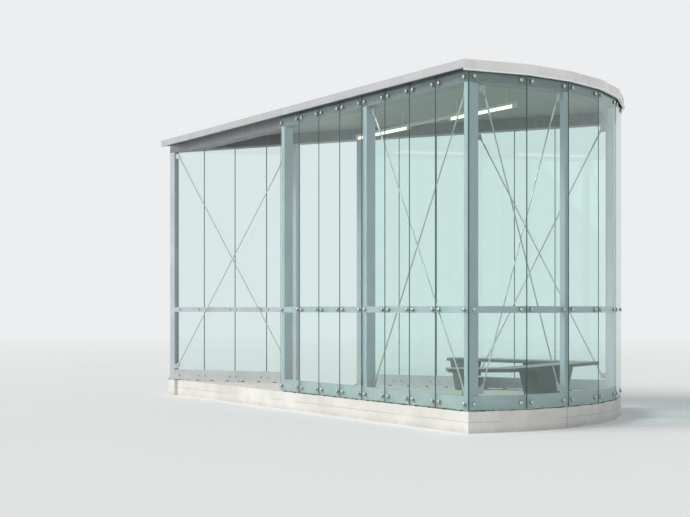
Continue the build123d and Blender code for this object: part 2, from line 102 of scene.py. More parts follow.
# Fixings: from a seam, from a corner of the plan, from a free end, and what they reach in to
SPACER = 0.015
SKIN = GLASS_THICK + SPACER
FIXING_INSET = 0.060
CORNER_FIXING_INSET = 0.078
END_FIXING_INSET = 0.032
FIXING_LEVELS = {"bottom": 0.336, "mid": 1.430, "top": 4.120}
RAIL_DEPTHS = {"bottom": 0.060, "mid": 0.040, "top": 0.190}

# Plinth, floor and the base plates of the posts
BOARD_LINE = 0.128
POUR_JOINT = -0.690
FLOOR_LEVEL = 0.250
PLATE_LEVEL = 0.260
PLATE_WIDTH = 0.130
WALL_PLATE_DEPTH = 0.175
NOSE_PLATE_DEPTH = 0.105
NUT_EDGE = 0.0125
TIP_NUT = 0.065

# Tie rods: where their pins are, by the distance from the tip, the depth and the level
STREET_PINS = (5.373, 7.112)
REAR_PINS = (5.322, 7.112)
WALL_PIN_DEPTH = 0.108
TIP_PIN_REACH = 0.117
TIP_PIN_DEPTH = 0.058
DOOR_PIN = 2.208
DOOR_PIN_DEPTH = 0.140
CORNER_POST = (7.214, 0.102)
CORNER_PIN_REACH = 0.150
NOSE_POST_CORNER = 3
NOSE_POST_DEPTH = 0.067
NOSE_PIN_REACH = 0.102
LOWER_PIN_LEVEL = 0.485
UPPER_PIN_LEVEL = 4.000
ROD_SPACING = 0.026

# Roof: its edge, its covering and the ceiling
WALL_OVERHANG = 0.090
NOSE_OVERHANG = 0.040
ROOF_LEVEL = 4.300
LIP_LEVEL = 4.1905
SHEET_JOINT = 3.450
RIVET_INSET = 0.024
RIVET_PITCH = 0.300
FELT_WIDTH = 1.0
CEILING_BOARD = 0.6

# Bench
BENCH_TOP = 0.720
BENCH_WIDTH = 0.320
BENCH_THICK = 0.044
BENCH_NOSE_SETBACK = 0.0303
BENCH_REAR_GAP = 0.9125
BENCH_FRONT_GAP = 0.8575
BENCH_BACK_LENGTH = 2.115
BENCH_FRONT_LENGTH = 0.683
BENCH_FRONT_HEADING = np.radians(38.5)
END_PEDESTAL = (0.380, 0.190)
END_PEDESTAL_PLACES = (0.230, 1.430)
NOSE_PEDESTAL = (1.000, 0.600)
FRONT_PEDESTAL = (0.180, 0.110)
FRONT_PEDESTAL_PLACE = 0.423
PEDESTAL_SETBACK = 0.030
BENCH_ROUND = 0.006

# Lights
LIGHT_DEPTH = 1.230
LIGHT_LEVEL = 3.980
LIGHT_STARTS = (3.490, 5.560)
LAMP_LENGTH = 1.240
LAMP_HOLDER = 0.030
LAMP_RADIUS = 0.019

# Camera: where the photograph was taken from, and its lens
CAMERA_FROM_TIP = (13.72, -12.77, 1.43)
CAMERA_HEADING = np.radians(38.25)
FOCAL_PIXELS = 1100.0
PHOTO_WIDTH = 690.0
PHOTO_HEIGHT = 517.0
HORIZON_ROW = 309.5
SENSOR = 36.0
CAMERA_REACH = 400.0

# Studio: the background and the rays that see it, the floor that fades into it, and two lamps
PALE = (0.84, 0.855, 0.865)
SEEING_RAYS = ("Is Camera Ray", "Is Glossy Ray", "Is Transmission Ray")
SKY_LIGHT = (0.93, 0.97, 1.0)
SKY_STRENGTH = 0.44
FLOOR_HALF = 150.0
FLOOR_SHADES = ((0.92, 0.93, 0.93), (0.95, 0.96, 0.96))
FLOOR_FADE = ((0.06, 0), (0.30, 1))
KEY_LAMP = {"way": (-0.45, -0.65, 0.62), "strength": 0.60, "spread": 25, "colour": (1.0, 0.97, 0.93)}
FILL_LAMP = {"way": (0.35, -0.90, 0.30), "strength": 0.10, "spread": 40, "colour": (0.93, 0.97, 1.0)}

# The smooth pieces keep their edges sharp from this angle on
SHARP_EDGE = np.radians(50)


def unit(heading):
    """The plan direction at an angle, or one column for each of several: its cosine and sine."""
    return np.array([np.cos(heading), np.sin(heading)])


def one_long(vectors):
    """Vectors over their own lengths."""
    return vectors / np.linalg.norm(vectors, axis=-1, keepdims=True)


def plan_corners(tip):
    """Headings, lengths and corners of the plan. The facets of the nose turn by equal steps; the two end
    ones are as long as it takes to reach from wall to wall. The last heading is the rear wall's."""
    first = np.pi / 2 - NOSE_TURN * (NOSE_FACETS - 1) / 2
    facets = first + NOSE_TURN * np.arange(NOSE_FACETS)
    width = 2 * WALL_LENGTH * np.sin(TIP_HALF_ANGLE)
    lengths = np.full(NOSE_FACETS, NOSE_FACET)
    lengths[[0, -1]] = (width - NOSE_FACET * np.sin(facets[1:-1]).sum()) / 2 / np.sin(facets[0])
    headings = np.concatenate([[-TIP_HALF_ANGLE], facets, [np.pi + TIP_HALF_ANGLE]])
    lengths = np.concatenate([[WALL_LENGTH], lengths])
    steps = unit(headings[:-1]).T * lengths[:, None]
    corners = tip + np.concatenate([np.zeros((1, 2)), np.cumsum(steps, 0)])
    return headings, lengths, corners


TIP = np.array([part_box("post_tip")[0].x + TIP_PLATE / 2, 0.0])
HEADINGS, LENGTHS, CORNERS = plan_corners(TIP)
STREET_CORNER = CORNERS[1]
REAR_CORNER = CORNERS[-1]


def corner_way(corner):
    """The plan direction at a corner: halfway between the headings before and after it."""
    return unit((HEADINGS[corner - 1] + HEADINGS[corner]) / 2)


class Side:
    """One side of the plan: where it starts, the way it runs and the way in from the glass."""

    def __init__(self, start, along, inward, length):
        self.start = start
        self.along = along
        self.inward = inward
        self.length = length

    def plan(self, distance, depth):
        """Plan points: start plus distance times the run plus depth times the way in."""
        return self.start + np.multiply.outer(distance, self.along) + np.multiply.outer(depth, self.inward)

    def outward(self):
        """The outward normal as a point in space."""
        return np.array([-self.inward[0], -self.inward[1], 0.0])


def left_of(way):
    """A plan direction turned a quarter turn to the left."""
    return np.array([-way[1], way[0]])


def left_hand(start, heading, length):
    """A side whose inside is on the left of the way it runs."""
    return Side(start, unit(heading), left_of(unit(heading)), length)


STREET = left_hand(TIP, -TIP_HALF_ANGLE, WALL_LENGTH)
REAR = Side(TIP, unit(TIP_HALF_ANGLE), -left_of(unit(TIP_HALF_ANGLE)), WALL_LENGTH)
NOSE = [left_hand(CORNERS[k], HEADINGS[k], LENGTHS[k]) for k in range(1, NOSE_FACETS + 1)]


class Wire:
    """An output socket, with the operators that shader maths uses."""

    def __init__(self, mixer, socket):
        self.mixer = mixer
        self.socket = socket

    def __add__(self, other):
        return self.mixer.maths("ADD", self, other)

    def __sub__(self, other):
        return self.mixer.maths("SUBTRACT", self, other)

    def __rsub__(self, other):
        return self.mixer.maths("SUBTRACT", other, self)

    def __mul__(self, other):
        return self.mixer.maths("MULTIPLY", self, other)

    def __truediv__(self, other):
        return self.mixer.maths("DIVIDE", self, other)

    def __lt__(self, other):
        return self.mixer.maths("LESS_THAN", self, other)

    def __gt__(self, other):
        return self.mixer.maths("GREATER_THAN", self, other)

    def __abs__(self):
        return self.mixer.maths("ABSOLUTE", self)

    __radd__ = __add__
    __rmul__ = __mul__


class Mixer:
    """The nodes of one material or of the world."""

    def __init__(self, tree):
        self.tree = tree

    def node(self, kind, settings=None, **sockets):
        """Makes a node, gives it its settings, then the values or links of its sockets. A socket goes by
        its name, or by the letter i and its number."""
        made = self.tree.nodes.new(kind)
        for key, value in (settings or {}).items():
            if key == "stops":
                self.set_stops(made.color_ramp, value)
            else:
                setattr(made, key, value)
        for key, value in sockets.items():
            numbered = key[0] == "i" and key[1:].isdigit()
            target = made.inputs[int(key[1:]) if numbered else key.replace("_", " ")]
            if isinstance(value, Wire):
                self.tree.links.new(value.socket, target)
            else:
                target.default_value = value
        return made

    @staticmethod
    def set_stops(ramp, stops):
        """Puts a ramp's stops at (position, grey level) pairs."""
        while len(ramp.elements) < len(stops):
            ramp.elements.new(0.5)
        for element, (position, level) in zip(ramp.elements, stops):
            element.position = position
            element.color = (level, level, level, 1)

    def wire(self, node, name=0):
        """A node's output, by its name or number."""
        return Wire(self, node.outputs[name])

    def maths(self, operation, *values):
        """The result of a maths node on values or wires."""
        sockets = {f"i{number}": value for number, value in enumerate(values)}
        return self.wire(self.node("ShaderNodeMath", {"operation": operation}, **sockets))

    def any_ray(self, *kinds):
        """One on the kinds of light path that are named, nought on the others."""
        path = self.node("ShaderNodeLightPath")
        found = self.wire(path, kinds[0])
        for kind in kinds[1:]:
            found = self.maths("MAXIMUM", found, self.wire(path, kind))
        return found

    def shaders(self, share, first, second):
        """A shader between two shaders."""
        return self.wire(self.node("ShaderNodeMixShader", i0=share, i1=first, i2=second))


class Finish(Mixer):
    """A material being mixed: a principled shader and the nodes that feed it."""

    def __init__(self, name, **fixed):
        self.material = bpy.data.materials.new(name)
        self.material.use_nodes = True
        super().__init__(self.material.node_tree)
        self.shader = self.tree.nodes["Principled BSDF"]
        for socket, value in fixed.items():
            self.shader.inputs[socket.replace("_", " ")].default_value = value

    def place(self, scale=(1, 1, 1), turn=0.0):
        """Object coordinates, stretched and turned about the upright."""
        where = self.wire(self.node("ShaderNodeTexCoord"), "Object")
        sockets = {"Vector": where, "Rotation": (0, 0, turn), "Scale": scale}
        return self.wire(self.node("ShaderNodeMapping", **sockets))

    def axis(self, name, place=None):
        """One coordinate of a place."""
        return self.wire(self.node("ShaderNodeSeparateXYZ", Vector=place or self.place()), name)

    def noise(self, scale, detail, place=None):
        """Fractal noise with so many features to the metre and so many octaves of detail."""
        sockets = {"Vector": place or self.place(), "Scale": scale, "Detail": detail}
        return self.wire(self.node("ShaderNodeTexNoise", **sockets), "Fac")

    def cells(self, scale):
        """The distance to the nearest of scattered points, so many to the metre."""
        made = self.node("ShaderNodeTexVoronoi", Vector=self.place(), Scale=scale)
        return self.wire(made, "Distance")

    def ramp(self, value, *stops):
        """A value remapped through (position, level) stops."""
        return self.wire(self.node("ShaderNodeValToRGB", {"stops": stops}, Fac=value))

    def line(self, value, half_width):
        """One where a value is within half a width of nought."""
        return abs(value) < half_width

    def joints(self, value, pitch, half_width):
        """One where a value is within half a width of a joint between strips a pitch wide."""
        return abs(self.maths("FRACT", value / pitch) - 0.5) > 0.5 - half_width / pitch

    def faces(self, name):
        """One on the faces whose own normal looks along an axis, nought on the others."""
        normal = self.wire(self.node("ShaderNodeNewGeometry"), "True Normal")
        return self.axis(name, normal) > 0.5

    def mix(self, share, first, second):
        """A colour between two colours, which are the mix node's inputs 6 and 7 and its output 2."""
        settings = {"data_type": "RGBA"}
        sockets = {"i0": share, "i6": self.colour(first), "i7": self.colour(second)}
        return self.wire(self.node("ShaderNodeMix", settings, **sockets), 2)

    @staticmethod
    def colour(value):
        """What a colour socket takes: a wire as it is, or three parts with their alpha."""
        return value if isinstance(value, Wire) else (*value, 1.0)

    def feed(self, socket, wire):
        """Links a wire to a socket of the principled shader."""
        self.tree.links.new(wire.socket, self.shader.inputs[socket])

    def bump(self, height, distance, strength):
        """Relief: a height of nought to one stands for a distance in metres."""
        made = self.node("ShaderNodeBump", Height=height, Distance=distance, Strength=strength)
        self.feed("Normal", self.wire(made))

    def share_surface(self, share, other):
        """Gives a share of the surface to another shader."""
        mixed = self.shaders(share, self.wire(self.shader), self.wire(other))
        self.tree.links.new(mixed.socket, self.tree.nodes["Material Output"].inputs["Surface"])


# Finishes
def steel_paint(name, colour, pale):
    """Galvanised steel under a thin grey coat: faint blotches, dust low down and in streaks, and a light
    texture."""
    paint = Finish(name, Metallic=0.25)
    blotch = paint.ramp(paint.noise(2.6, 6), (0.38, 0), (0.66, 1))
    streak = paint.ramp(paint.noise(3.0, 5, paint.place((9, 9, 0.5))), (0.50, 0), (0.72, 1))
    tone = paint.mix(blotch * 0.55, colour, pale)
    low = paint.ramp(paint.axis("Z"), (FLOOR_LEVEL, 1), (0.62, 0))
    dust = low * paint.noise(7.0, 5) * 0.75 + streak * 0.16
    paint.feed("Base Color", paint.mix(dust, tone, (0.52, 0.50, 0.45)))
    paint.feed("Roughness", 0.42 + dust * 0.35 + blotch * 0.08)
    paint.bump(paint.noise(160.0, 3), 0.0006, 0.35)
    return paint.material


def along_street(finish):
    """Distance along the street wall from the tip."""
    square = finish.place(turn=TIP_HALF_ANGLE)
    return finish.axis("X", square) - float(TIP[0] * np.cos(TIP_HALF_ANGLE))


def edge_sheet():
    """Pale metal of the roof edge: soft clouds, faint runs from the top, a joint between two sheets, a
    painted reflection of the sky that makes the nose's sheet paler, and a painted highlight on the lip at
    its foot."""
    sheet = Finish("edge_sheet", Metallic=0.5)
    cloud = sheet.ramp(sheet.noise(1.9, 7), (0.35, 0), (0.70, 1))
    runs = sheet.ramp(sheet.noise(1.6, 5, sheet.place((5, 5, 0.5))), (0.50, 0), (0.80, 1))
    mottle = sheet.noise(38.0, 5)
    nose = sheet.faces("X")
    joint = sheet.line(along_street(sheet) - SHEET_JOINT, half_width=0.0035)
    lip = sheet.axis("Z") < LIP_LEVEL
    shade = cloud * 0.7 + mottle * 0.3
    wall_tone = sheet.mix(shade, (0.61, 0.62, 0.63), (0.50, 0.51, 0.52))
    # Painted reflection: round the nose the sheet is painted paler, standing in for the sky that it
    # mirrors.
    nose_sky_reflection = sheet.mix(shade, (0.87, 0.85, 0.82), (0.66, 0.66, 0.66))
    runs_and_reflection = sheet.mix(runs * 0.16, sheet.mix(nose, wall_tone, nose_sky_reflection), (0.40, 0.39, 0.38))
    # Painted highlight: the lip at the foot of the sheet is painted near-white where it catches the light.
    edged = sheet.mix(lip * 0.9, runs_and_reflection, (0.95, 0.95, 0.94))
    sheet.feed("Base Color", sheet.mix(joint * 0.8, edged, (0.10, 0.10, 0.10)))
    sheet.feed("Roughness", 0.30 + cloud * 0.14 + mottle * 0.14)
    sheet.bump(mottle * 0.3 + sheet.noise(5.0, 2) - joint * 2.0, 0.0015, 0.25)
    return sheet.material


def concrete(name):
    """Concrete. Its sides are cast: a cloudy tone, blow holes as dark pits, a damp foot, the lines between
    boards, and one joint in the nose. Its upper faces are trowelled: wide soft clouds and a few scuffs."""
    cast = Finish(name)
    fine = cast.noise(55.0, 6)
    upper = cast.faces("Z")
    cloud = cast.ramp(cast.noise(2.2, 8), (0.32, 0), (0.70, 1))
    patch = cast.ramp(cast.noise(6.0, 3), (0.42, 0), (0.56, 1))
    pits = cast.ramp(cast.cells(26.0), (0.07, 1), (0.15, 0)) * patch * (1 - upper)
    level = cast.axis("Z") + cast.noise(1.4, 3) * 0.008 - 0.004
    foot = cast.ramp(level * 4.0, (0.00, 1), (0.30, 0)) * cast.noise(5.0, 5)
    shown = cast.ramp(cast.noise(0.9, 3), (0.44, 0), (0.50, 1))
    board = cast.line(level - BOARD_LINE, half_width=0.0022) * shown
    nose = cast.axis("X") > float(STREET_CORNER[0])
    pour = cast.line(cast.axis("Y") - POUR_JOINT, half_width=0.003) * nose
    line = cast.maths("MAXIMUM", board, pour) * (1 - upper)
    tone = cast.mix(cloud * 0.8 + fine * 0.25, (0.86, 0.835, 0.80), (0.66, 0.645, 0.61))
    stained = cast.mix(foot * 0.7, tone, (0.38, 0.36, 0.32))
    side = cast.mix(pits * 0.8 + line * 0.6, stained, (0.22, 0.20, 0.17))
    wide_cloud = cast.ramp(cast.noise(0.9, 7), (0.34, 0), (0.68, 1))
    scuff = cast.ramp(cast.noise(3.5, 6, cast.place((1, 4, 1))), (0.58, 0), (0.76, 1))
    swept = cast.mix(wide_cloud, (0.90, 0.88, 0.83), (0.78, 0.76, 0.71))
    top = cast.mix(scuff * 0.3 + fine * 0.15, swept, (0.44, 0.41, 0.36))
    cast.feed("Base Color", cast.mix(upper, side, top))
    cast.feed("Roughness", 0.82 - upper * 0.16 + fine * 0.12)
    cast.bump(fine * 0.25 - pits * 1.6 - line * 1.2 + cloud * 0.4 * (1 - upper), 0.003, 0.6)
    return cast.material


def pane_glass():
    """Clear float glass: a green cast, and a little dust that only dulls the reflections. Light from the
    lamps and scattered light go straight through it, tinted."""
    glass = Finish("pane_glass", IOR=1.5, Transmission_Weight=1.0, Base_Color=(*GLASS_CAST, 1.0))
    glass.feed("Roughness", glass.ramp(glass.noise(0.8, 5), (0.40, 0.0), (0.85, 0.03)))
    face_cast = tuple(float(part) for part in np.sqrt(GLASS_CAST))
    clear = glass.node("ShaderNodeBsdfTransparent", Color=(*face_cast, 1.0))
    glass.share_surface(glass.any_ray("Is Shadow Ray", "Is Diffuse Ray"), clear)
    return glass.material


def pane_edge():
    """The ground edge of a pane, dark green because the light has come the long way through the sheet."""
    edge = Finish("pane_edge", Roughness=0.22)
    tone = edge.noise(3.0, 4, edge.place((6, 6, 0.4)))
    edge.feed("Base Color", edge.mix(tone, (0.010, 0.10, 0.09), (0.05, 0.23, 0.20)))
    return edge.material


def seal_paste():
    """The sealant in the seams: dark, slightly uneven."""
    paste = Finish("seam_seal")
    tone = paste.noise(26.0, 4)
    paste.feed("Base Color", paste.mix(tone, (0.015, 0.065, 0.062), (0.05, 0.13, 0.12)))
    paste.feed("Roughness", 0.38 + tone * 0.25)
    return paste.material


def stainless(name, colour, rough):
    """Stainless steel: very fine marks and faint tarnish."""
    metal = Finish(name, Metallic=1.0)
    marks = metal.noise(420.0, 3)
    tarnish = metal.noise(14.0, 5)
    metal.feed("Base Color", metal.mix(tarnish * 0.6, colour, tuple(0.62 * part for part in colour)))
    metal.feed("Roughness", rough + marks * 0.12 + tarnish * 0.08)
    metal.bump(marks, 0.0003, 0.3)
    return metal.material


def dark_rubber():
    """The washers under the fixings."""
    rubber = Finish("washer_rubber")
    tone = rubber.noise(90.0, 4)
    rubber.feed("Base Color", rubber.mix(tone, (0.018, 0.019, 0.020), (0.05, 0.05, 0.052)))
    rubber.feed("Roughness", 0.7 + tone * 0.2)
    return rubber.material


def ceiling_lining():
    """Painted lining boards: soft grey-olive, thin joints square to the line of symmetry."""
    lining = Finish("ceiling_lining", Roughness=0.55)
    joint = lining.joints(lining.axis("X"), CEILING_BOARD, half_width=0.0048)
    cloud = lining.noise(1.3, 6)
    tone = lining.mix(cloud, (0.27, 0.28, 0.25), (0.36, 0.365, 0.33))
    lining.feed("Base Color", lining.mix(joint * 0.6, tone, (0.10, 0.10, 0.09)))
    lining.bump(0 - joint, 0.002, 0.5)
    return lining.material


def roof_felt():
    """The roof covering: mineral grey, with lapped seams between its widths and dusty hollows."""
    felt = Finish("roof_felt")
    lap = felt.joints(felt.axis("X"), FELT_WIDTH, half_width=0.010)
    grit = felt.noise(150.0, 4)
    pool = felt.ramp(felt.noise(0.8, 6), (0.45, 0), (0.60, 1))
    tone = felt.mix(grit * 0.7, (0.34, 0.35, 0.36), (0.46, 0.47, 0.47))
    dusty = felt.mix(pool * 0.45, tone, (0.54, 0.52, 0.47))
    felt.feed("Base Color", felt.mix(lap * 0.75, dusty, (0.15, 0.16, 0.16)))
    felt.feed("Roughness", 0.78 + grit * 0.18)
    felt.bump(grit * 0.4 + lap, 0.002, 0.6)
    return felt.material


def bench_paint():
    """Dark grey coating of the bench; its upper faces are painted pale, painted light where they face the
    sky.
    """
    paint = Finish("bench_paint")
    wear = paint.noise(3.2, 6)
    upper = paint.faces("Z")
    dark = paint.mix(wear, (0.095, 0.120, 0.115), (0.16, 0.185, 0.175))
    pale = paint.mix(wear, (0.33, 0.35, 0.33), (0.46, 0.47, 0.43))
    # Painted light: the upper faces are painted pale where light from above falls on them; the sides keep
    # the dark coating.
    paint.feed("Base Color", paint.mix(upper, dark, pale))
    paint.feed("Roughness", 0.40 + wear * 0.25)
    paint.bump(paint.noise(120.0, 3), 0.0008, 0.3)
    return paint.material


def lamp_white():
    """A lit lamp: a warm white that drifts a little along its length."""
    lamp = Finish("lamp_white", Roughness=0.4, Emission_Strength=1.25)
    shade = lamp.noise(1.5, 2)
    glow = lamp.mix(shade, (1.0, 0.96, 0.80), (1.0, 0.93, 0.72))
    lamp.feed("Base Color", glow)
    lamp.feed("Emission Color", glow)
    return lamp.material


def housing_white():
    """Stove enamel of the light trunking."""
    enamel = Finish("housing_white")
    tone = enamel.noise(5.0, 5)
    enamel.feed("Base Color", enamel.mix(tone, (0.60, 0.61, 0.57), (0.70, 0.70, 0.66)))
    enamel.feed("Roughness", 0.35 + tone * 0.2)
    return enamel.material


STEEL = steel_paint("post_steel", (0.49, 0.54, 0.59), (0.63, 0.67, 0.71))
# Painted shade: the beams have the posts' paint; this darker copy of it stands in for the shade under the
# roof's edge.
SHADED_BEAM_STEEL = steel_paint("beam_steel_painted_shade", (0.195, 0.21, 0.22), (0.265, 0.275, 0.28))
BENCH = bench_paint()
GLASS = pane_glass()
GLASS_EDGE = pane_edge()
ROD_STEEL = stainless("rod_steel", (0.61, 0.62, 0.62), 0.32)
BOLT_STEEL = stainless("bolt_steel", (0.30, 0.31, 0.32), 0.38)
RUBBER = dark_rubber()


def finish_cad_nodes():
    """Gives each part that comes from the frame its finish, by how its name starts. The glass and the bench
    need none, because pieces of this scene replace them."""
    finishes = {
        "post_": STEEL,
        "mid_rail": STEEL,
        "bottom_rail": STEEL,
        "top_beam": SHADED_BEAM_STEEL,
        "fascia": edge_sheet(),
        "plinth": concrete("plinth_concrete"),
        "floor_slab": concrete("floor_concrete"),
        "glass_spacers": ROD_STEEL,
        "brace": ROD_STEEL,
        "ceiling": ceiling_lining(),
        "roof_deck": roof_felt(),
        "light_rail": housing_white(),
        "light_tube": lamp_white(),
    }
    for name, node in NODES.items():
        for start, material in finishes.items():
            if name.startswith(start):
                node.data.materials.clear()
                node.data.materials.append(material)


# Shapes: points, and faces in groups that have the same number of corners
def linked(name, data):
    """A new object of the scene."""
    made = bpy.data.objects.new(name, data)
    bpy.context.scene.collection.objects.link(made)
    return made


def volume_inside(points, groups):
    """Six times the volume inside: the sum of the triple products of each face's fan of triangles."""
    total = 0.0
    for group in groups:
        first = points[group[:, 0]]
        for corner in range(1, group.shape[1] - 1):
            across = np.cross(first, points[group[:, corner]])
            total += (across * points[group[:, corner + 1]]).sum()
    return total


def make_piece(name, shape, materials, kinds=None, smooth=False):
    """Puts a shape into a mesh, its faces outwards, and lets it ride on the shelter. The kinds say which
    of the materials each face has."""
    points, groups = shape
    if volume_inside(points, groups) < 0:
        groups = [group[:, ::-1] for group in groups]
    mesh = bpy.data.meshes.new(name)
    mesh.from_pydata(points.tolist(), [], [face for group in groups for face in group.tolist()])
    for material in materials:
        mesh.materials.append(material)
    if kinds is not None:
        mesh.polygons.foreach_set("material_index", np.asarray(kinds, np.int32))
    mesh.polygons.foreach_set("use_smooth", np.full(len(mesh.polygons), smooth))
    if smooth:
        mesh.set_sharp_from_angle(angle=SHARP_EDGE)
    mesh.update()
    piece = linked(name, mesh)
    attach(piece, "root")
    return piece


def ring_quads(rings, around):
    """Quads between neighbouring rings of points."""
    ring, step = np.meshgrid(np.arange(rings - 1), np.arange(around), indexing="ij")
    low = ring * around
    high = low + around
    after = (step + 1) % around
    return np.stack([low + step, low + after, high + after, high + step], -1).reshape(-1, 4)


def stacked(rings):
    """A closed shape of rings of points, one above the other, its first and last ring filled."""
    count, around = rings.shape[:2]
    ends = np.arange(around)
    last = ends + (count - 1) * around
    return rings.reshape(-1, 3), [ring_quads(count, around), np.stack([ends[::-1], last])]


def inset(outline, distance):
    """A plan outline drawn in: each corner moves by the sum of its two inward normals times the distance,
    over one plus their product."""
    edges = one_long(np.roll(outline, -1, 0) - outline)
    normals = np.stack([-edges[:, 1], edges[:, 0]], 1)
    before = np.roll(normals, 1, 0)
    return outline + distance * (normals + before) / (1 + (normals * before).sum(1))[:, None]


def at_level(outline, level):
    """Plan points at one level."""
    return np.column_stack([outline, np.full(len(outline), level)])


def rounded(outline, radius, steps=3):
    """A plan outline with an arc at each corner: about a centre drawn in by the radius, the arc turns from
    the outward normal of one edge to that of the next."""
    centres = inset(outline, radius)
    edges = np.roll(outline, -1, 0) - outline
    facing_out = np.arctan2(-edges[:, 0], edges[:, 1])
    start = np.roll(facing_out, 1)
    sweep = (facing_out - start) % (2 * np.pi)
    turn = start[:, None] + sweep[:, None] * np.linspace(0, 1, steps)
    arc = radius * np.stack([np.cos(turn), np.sin(turn)], -1)
    return (centres[:, None] + arc).reshape(-1, 2)


def softened(outline, low, high, radius, steps=3):
    """A prism with quarter-round rims: towards each end the outline is drawn in by the radius times one
    minus the cosine, and goes out by the radius times the sine, of an angle up to a right angle. The
    corners of the outline itself are rounded to twice the radius."""
    angle = np.linspace(0, np.pi / 2, steps)
    draw = radius * (1 - np.cos(angle))
    rise = radius * np.sin(angle)
    draws = np.concatenate([draw[::-1], draw])
    levels = np.concatenate([(low + radius - rise)[::-1], high - radius + rise])
    curved = rounded(outline, 2 * radius, steps)
    rings = [at_level(inset(curved, drawn), level) for drawn, level in zip(draws, levels)]
    return stacked(np.array(rings))


def turned(profile, steps):
    """A turned shape, its two ends filled. Each point of a profile of (radius, height) goes round the
    upright in steps: the radius times the cosine and the sine of the angle, and the height."""
    profile = np.asarray(profile, float)
    angle = np.arange(steps) * 2 * np.pi / steps
    rings = np.empty((len(profile), steps, 3))
    rings[..., :2] = profile[:, None, :1] * unit(angle).T
    rings[..., 2] = profile[:, 1:]
    return stacked(rings)


def copies(shape, frames):
    """A shape at each frame: an origin and, as rows, the axes that its x, y and z follow."""
    points, groups = shape
    origins = np.array([origin for origin, _ in frames])
    axes = np.array([rows for _, rows in frames])
    placed = origins[:, None] + np.einsum("pk,fkc->fpc", points, axes)
    shift = len(points) * np.arange(len(frames))[:, None, None]
    return placed.reshape(-1, 3), [(group + shift).reshape(-1, group.shape[1]) for group in groups]


def together(shapes):
    """Several shapes as one, each group's corners counted on from the points before it."""
    counts = np.cumsum([0] + [len(points) for points, _ in shapes])
    groups = [group + count for (_, faces), count in zip(shapes, counts) for group in faces]
    return np.concatenate([points for points, _ in shapes]), groups


def facing(point, way):
    """A frame whose z follows a direction and whose x is level."""
    level = one_long(np.cross(UP, way))
    return np.asarray(point, float), np.stack([level, np.cross(way, level), way])


def standing(point, along):
    """A frame that stands upright, its x along a plan direction."""
    ahead = np.append(along, 0.0)
    return np.asarray(point, float), np.stack([ahead, np.cross(UP, ahead), UP])


def on_side(side, distance, depth, level):
    """A point in space on one side of the plan."""
    return np.append(side.plan(distance, depth), level)


# Glass panes
PANE_RINGS = 4
PANE_AROUND = 8
CAP_QUADS = np.array([[0, 1, 2, 7], [7, 2, 3, 6], [6, 3, 4, 5]])


def pane_rings(side, start, end, mitre_start, mitre_end):
    """A pane as four rings of eight points. A point is at a distance along and a depth in. The long edges
    are cut back by the arris, and the top and bottom rings are drawn in by it. A mitred end moves by the
    tangent of its half angle times the depth."""
    length = end - start
    cut, thick = ARRIS, GLASS_THICK
    outer = [[cut, 0], [length - cut, 0], [length, cut], [length, thick - cut]]
    inner = [[length - cut, thick], [cut, thick], [0, thick - cut], [0, cut]]
    wide = np.array(outer + inner)
    middle = np.array([length / 2, thick / 2])
    drawn = wide - cut * np.sign(wide - middle)
    rings = np.stack([drawn, wide, wide, drawn])
    levels = np.array([GLASS_FOOT, GLASS_FOOT + cut, GLASS_HEAD - cut, GLASS_HEAD])
    share = rings[..., 0] / length
    along = start + rings[..., 0] + rings[..., 1] * (mitre_start * (1 - share) - mitre_end * share)
    plan = side.plan(along, rings[..., 1])
    return np.concatenate([plan, np.broadcast_to(levels[:, None, None], (PANE_RINGS, PANE_AROUND, 1))], -1)


def make_panes(name, panes, node):
    """All panes of one wall in one mesh. Each has three bands of eight quads and three quads at each end.
    Its two wide faces, the first and the fifth quad of the middle band, are clear; the others are edge."""
    points = np.array([pane_rings(*pane) for pane in panes])
    bands = ring_quads(PANE_RINGS, PANE_AROUND)
    last_ring = (PANE_RINGS - 1) * PANE_AROUND
    quads = np.concatenate([bands, CAP_QUADS[:, ::-1], CAP_QUADS + last_ring])
    kind = np.ones(len(quads), int)
    kind[[PANE_AROUND, PANE_AROUND + PANE_AROUND // 2]] = 0
    firsts = PANE_RINGS * PANE_AROUND * np.arange(len(panes))
    faces = (quads + firsts[:, None, None]).reshape(-1, 4)
    shape = points.reshape(-1, 3), [faces]
    piece = make_piece(name, shape, [GLASS, GLASS_EDGE], np.tile(kind, len(panes)))
    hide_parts(node)


def run_ends(start, pitch, count, end):
    """The joints of a straight run of panes; the last pane takes what is left."""
    joints = np.append(start + pitch * np.arange(count), end)
    return list(zip(joints[:-1], joints[1:]))


STREET_RUN = run_ends(STREET_GLASS_START, STREET_PANEL, STREET_PANELS, WALL_LENGTH)
REAR_LEFT_RUN = run_ends(0.0, DOOR_START / REAR_LEFT_PANELS, REAR_LEFT_PANELS, DOOR_START)
REAR_RIGHT_RUN = run_ends(DOOR_END, REAR_PANEL, REAR_RIGHT_PANELS, WALL_LENGTH)
CORNER_HALF_TURN = (HEADINGS[1] - HEADINGS[0]) / 2
TIP_GLASS_START = (TIP_POST / 2 + TIP_GLASS_GAP) / np.cos(TIP_HALF_ANGLE)


def straight_panes(side, run, corner):
    """The panes of a straight run; the last one is mitred where it meets the nose."""
    panes = [(side, start + SEAM / 2, end - SEAM / 2, 0.0, 0.0) for start, end in run]
    if corner:
        start, end = run[-1]
        cut = SEAM / 2 / np.cos(CORNER_HALF_TURN)
        panes[-1] = (side, start + SEAM / 2, end - cut, 0.0, np.tan(CORNER_HALF_TURN))
    return panes


def nose_panes():
    """The panes of the nose, mitred at every seam."""
    half_turns = np.full(NOSE_FACETS + 1, NOSE_TURN / 2)
    half_turns[[0, -1]] = CORNER_HALF_TURN
    panes = []
    for number, side in enumerate(NOSE):
        first, last = half_turns[number], half_turns[number + 1]
        start = SEAM / 2 / np.cos(first)
        end = side.length - SEAM / 2 / np.cos(last)
        panes.append((side, start, end, np.tan(first), np.tan(last)))
    return panes


